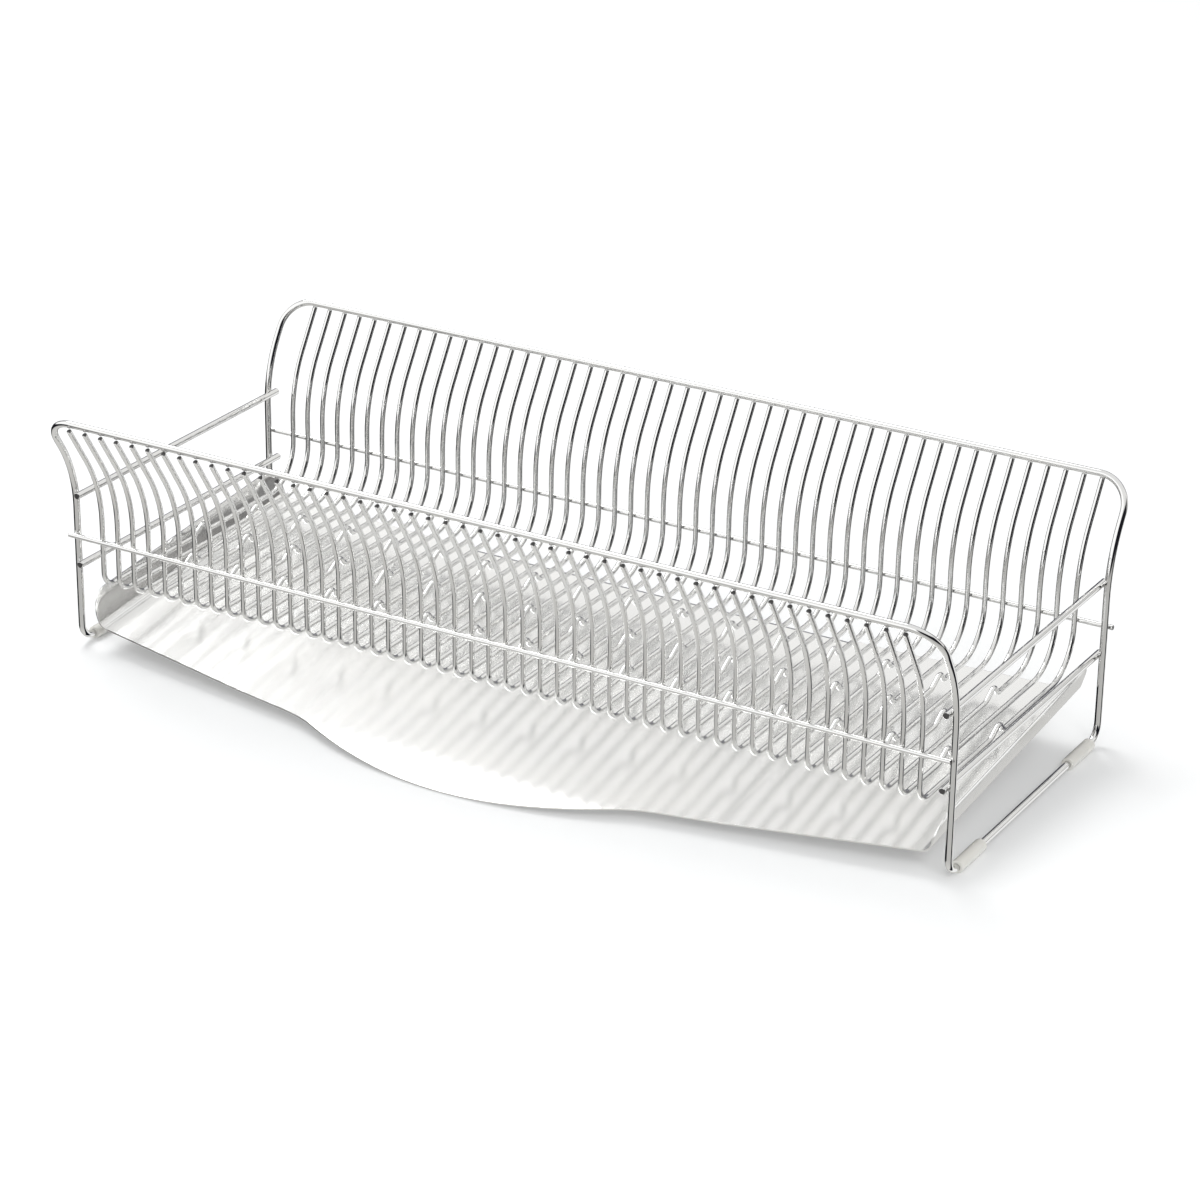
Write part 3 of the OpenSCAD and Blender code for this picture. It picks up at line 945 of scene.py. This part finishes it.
# %% Table top
table = bmesh.new()
bmesh.ops.create_grid(table, x_segments=1, y_segments=1, size=9.0)
table_mesh = bpy.data.meshes.new("table_top")
table.to_mesh(table_mesh)
table.free()
table_top = bpy.data.objects.new("table_top", table_mesh)
bpy.context.scene.collection.objects.link(table_top)
TABLE_LIFT = 0.12
white_top = bpy.data.materials.new("white_top")
white_top.use_nodes = True
shader = white_top.node_tree.nodes["Principled BSDF"]
shader.inputs["Base Color"].default_value = (0.86, 0.87, 0.875, 1)
shader.inputs["Roughness"].default_value = 0.6
shader.inputs["Specular IOR Level"].default_value = 0.1
shader.inputs["Emission Color"].default_value = (1, 1, 1, 1)
shader.inputs["Emission Strength"].default_value = TABLE_LIFT
table_mesh.materials.append(white_top)
table_top.visible_glossy = False
print("table top is", table_top.dimensions.x, "m wide")

# %% Tones, cards and walls of the room
ROOM_SHARE = 0.68
ROOM_TONES = ((-1, 0.80), (-0.6, 0.66), (-0.3, 0.60), (0, 0.54), (0.14, 1.05), (1, 1.4))
CARD = (0.015, 0.015, 0.02)
CLOTH = (0.11, 0.11, 0.14)
GREY_STRIP = (0.10, 0.095, 0.09)
WHITE_CARD = (1.1, 1.1, 1.1)
BRIGHT_WALL = (1.35, 1.35, 1.35)

# Each row holds a bearing, a half width and a soft edge in degrees, then the lower and
# upper height, their blend, and the colour. A later row covers an earlier one.
ROOM_PATCHES = (
    (168, 58, 8, -0.55, -0.05, 0.08, CARD),
    (28, 22, 6, -2.0, -0.05, 0.08, CARD),
    (66, 12, 8, -2.0, 0.0, 0.05, WHITE_CARD),
    (110, 40, 10, -0.05, 0.40, 0.06, CLOTH),
    (50, 10, 6, 0.02, 0.10, 0.05, GREY_STRIP),
    (-130, 50, 15, 0.0, 0.60, 0.10, BRIGHT_WALL),
    (-30, 44, 12, 0.0, 0.58, 0.14, CARD),
)
print("room patches:", len(ROOM_PATCHES))

# %% The room around the table
world = bpy.data.worlds.new("studio_room")
bpy.context.scene.world = world
world.use_nodes = True
nodes, links = world.node_tree.nodes, world.node_tree.links
room = nodes["Background"]
where = nodes.new("ShaderNodeTexCoord")
split = nodes.new("ShaderNodeSeparateXYZ")
links.new(where.outputs["Generated"], split.inputs[0])
level = nodes.new("ShaderNodeVectorMath")
level.operation = "MULTIPLY"
level.inputs[1].default_value = (1, 1, 0)
links.new(where.outputs["Generated"], level.inputs[0])
compass = nodes.new("ShaderNodeVectorMath")
compass.operation = "NORMALIZE"
links.new(level.outputs[0], compass.inputs[0])


def smooth_step(source, low, high):
    """1 above high, 0 below low, smooth between; swap them to turn it round."""
    step = nodes.new("ShaderNodeMapRange")
    step.interpolation_type = "SMOOTHSTEP"
    step.inputs["From Min"].default_value = low
    step.inputs["From Max"].default_value = high
    links.new(source, step.inputs["Value"])
    return step.outputs["Result"]


def room_patch(under, bearing, spread, soft, floor, top, blend, colour):
    """Paints the room towards a bearing (degrees from +X), between two heights."""
    aim = nodes.new("ShaderNodeVectorMath")
    aim.operation = "DOT_PRODUCT"
    angle = math.radians(bearing)
    aim.inputs[1].default_value = (math.cos(angle), math.sin(angle), 0)
    links.new(compass.outputs[0], aim.inputs[0])
    near = math.cos(math.radians(spread))
    far = math.cos(math.radians(spread + soft))
    facing = smooth_step(aim.outputs["Value"], far, near)
    heights = (
        smooth_step(split.outputs["Z"], top + blend, top),
        smooth_step(split.outputs["Z"], floor - blend, floor),
    )
    mask = facing
    for height in heights:
        part = nodes.new("ShaderNodeMath")
        part.operation = "MULTIPLY"
        links.new(mask, part.inputs[0])
        links.new(height, part.inputs[1])
        mask = part.outputs[0]
    mixed = nodes.new("ShaderNodeMix")
    mixed.data_type = "RGBA"
    links.new(mask, mixed.inputs["Factor"])
    links.new(under, mixed.inputs["A"])
    mixed.inputs["B"].default_value = (*colour, 1)
    return mixed.outputs["Result"]


low_half = nodes.new("ShaderNodeMapRange")
low_half.inputs["From Min"].default_value = -1.0
low_half.inputs["From Max"].default_value = 1.0
links.new(split.outputs["Z"], low_half.inputs["Value"])
bands = nodes.new("ShaderNodeValToRGB")
for height, tone in ROOM_TONES:
    stop = bands.color_ramp.elements.new((height + 1) / 2)
    stop.color = (tone, tone * 0.99, tone * 0.965, 1)
bands.color_ramp.elements.remove(bands.color_ramp.elements[-1])
bands.color_ramp.elements.remove(bands.color_ramp.elements[0])
links.new(low_half.outputs["Result"], bands.inputs["Fac"])
colour = bands.outputs["Color"]
for patch in ROOM_PATCHES:
    colour = room_patch(colour, *patch)
links.new(colour, room.inputs["Color"])
path = nodes.new("ShaderNodeLightPath")
dimmed = nodes.new("ShaderNodeMapRange")
dimmed.inputs["To Min"].default_value = 1.0
dimmed.inputs["To Max"].default_value = ROOM_SHARE
links.new(path.outputs["Is Diffuse Ray"], dimmed.inputs["Value"])
links.new(dimmed.outputs["Result"], room.inputs["Strength"])
print("room strength:", ROOM_SHARE, "for diffuse rays and 1 for all others")

# %% Lamps
def soft_box(name, at, aim, width, height, watts):
    light = bpy.data.lights.new(name, "AREA")
    light.shape = "RECTANGLE"
    light.size, light.size_y = width, height
    light.energy = watts
    lamp = bpy.data.objects.new(name, light)
    lamp.location = at
    lamp.rotation_euler = (Vector(aim) - Vector(at)).to_track_quat("-Z", "Y").to_euler()
    bpy.context.scene.collection.objects.link(lamp)
    return lamp


soft_box("overhead_box", (-1.56, 0.9, 2.4), (0, 0, 0), 1.5, 1.5, 42)
front_fill = soft_box("front_fill", (1.1, -0.9, 0.9), (0.2, 0, 0), 0.8, 0.8, 9)
front_fill.visible_glossy = False
bpy.context.scene.view_settings.view_transform = "Standard"

# %% [markdown]
# ## Camera
#
# The rack is seen from its front right corner, from about two metres away and a little
# above, through a long lens that keeps its long edges almost parallel. The camera's place
# is measured from the middle of the rack on the table, and it is rolled very slightly.

# %% Camera
LENS_LENGTH = 115.02
CAMERA_AT = (1.0117, -1.7281, 0.9469)
lens = bpy.data.cameras.new("product_lens")
lens.sensor_width = 36.0
lens.lens = LENS_LENGTH
lens.clip_start, lens.clip_end = 0.05, 30.0
camera = bpy.data.objects.new("product_camera", lens)
bpy.context.scene.collection.objects.link(camera)
azimuth, elevation, roll = math.radians(30.0), math.radians(23.92), math.radians(0.79)
look = Vector(
    (
        -math.sin(azimuth) * math.cos(elevation),
        math.cos(azimuth) * math.cos(elevation),
        -math.sin(elevation),
    )
)
side = Vector((math.cos(azimuth), math.sin(azimuth), 0))
top = side.cross(look)
rolled_side = side * math.cos(roll) + top * math.sin(roll)
rolled_top = -side * math.sin(roll) + top * math.cos(roll)
turn = Matrix((rolled_side, rolled_top, -look)).transposed()
camera.matrix_world = Matrix.Translation(CAMERA_AT) @ turn.to_4x4()
bpy.context.scene.camera = camera
print("camera is", round(camera.location.length, 2), "m from the middle of the rack")

# %% Update the view layer and close
bpy.context.view_layer.update()
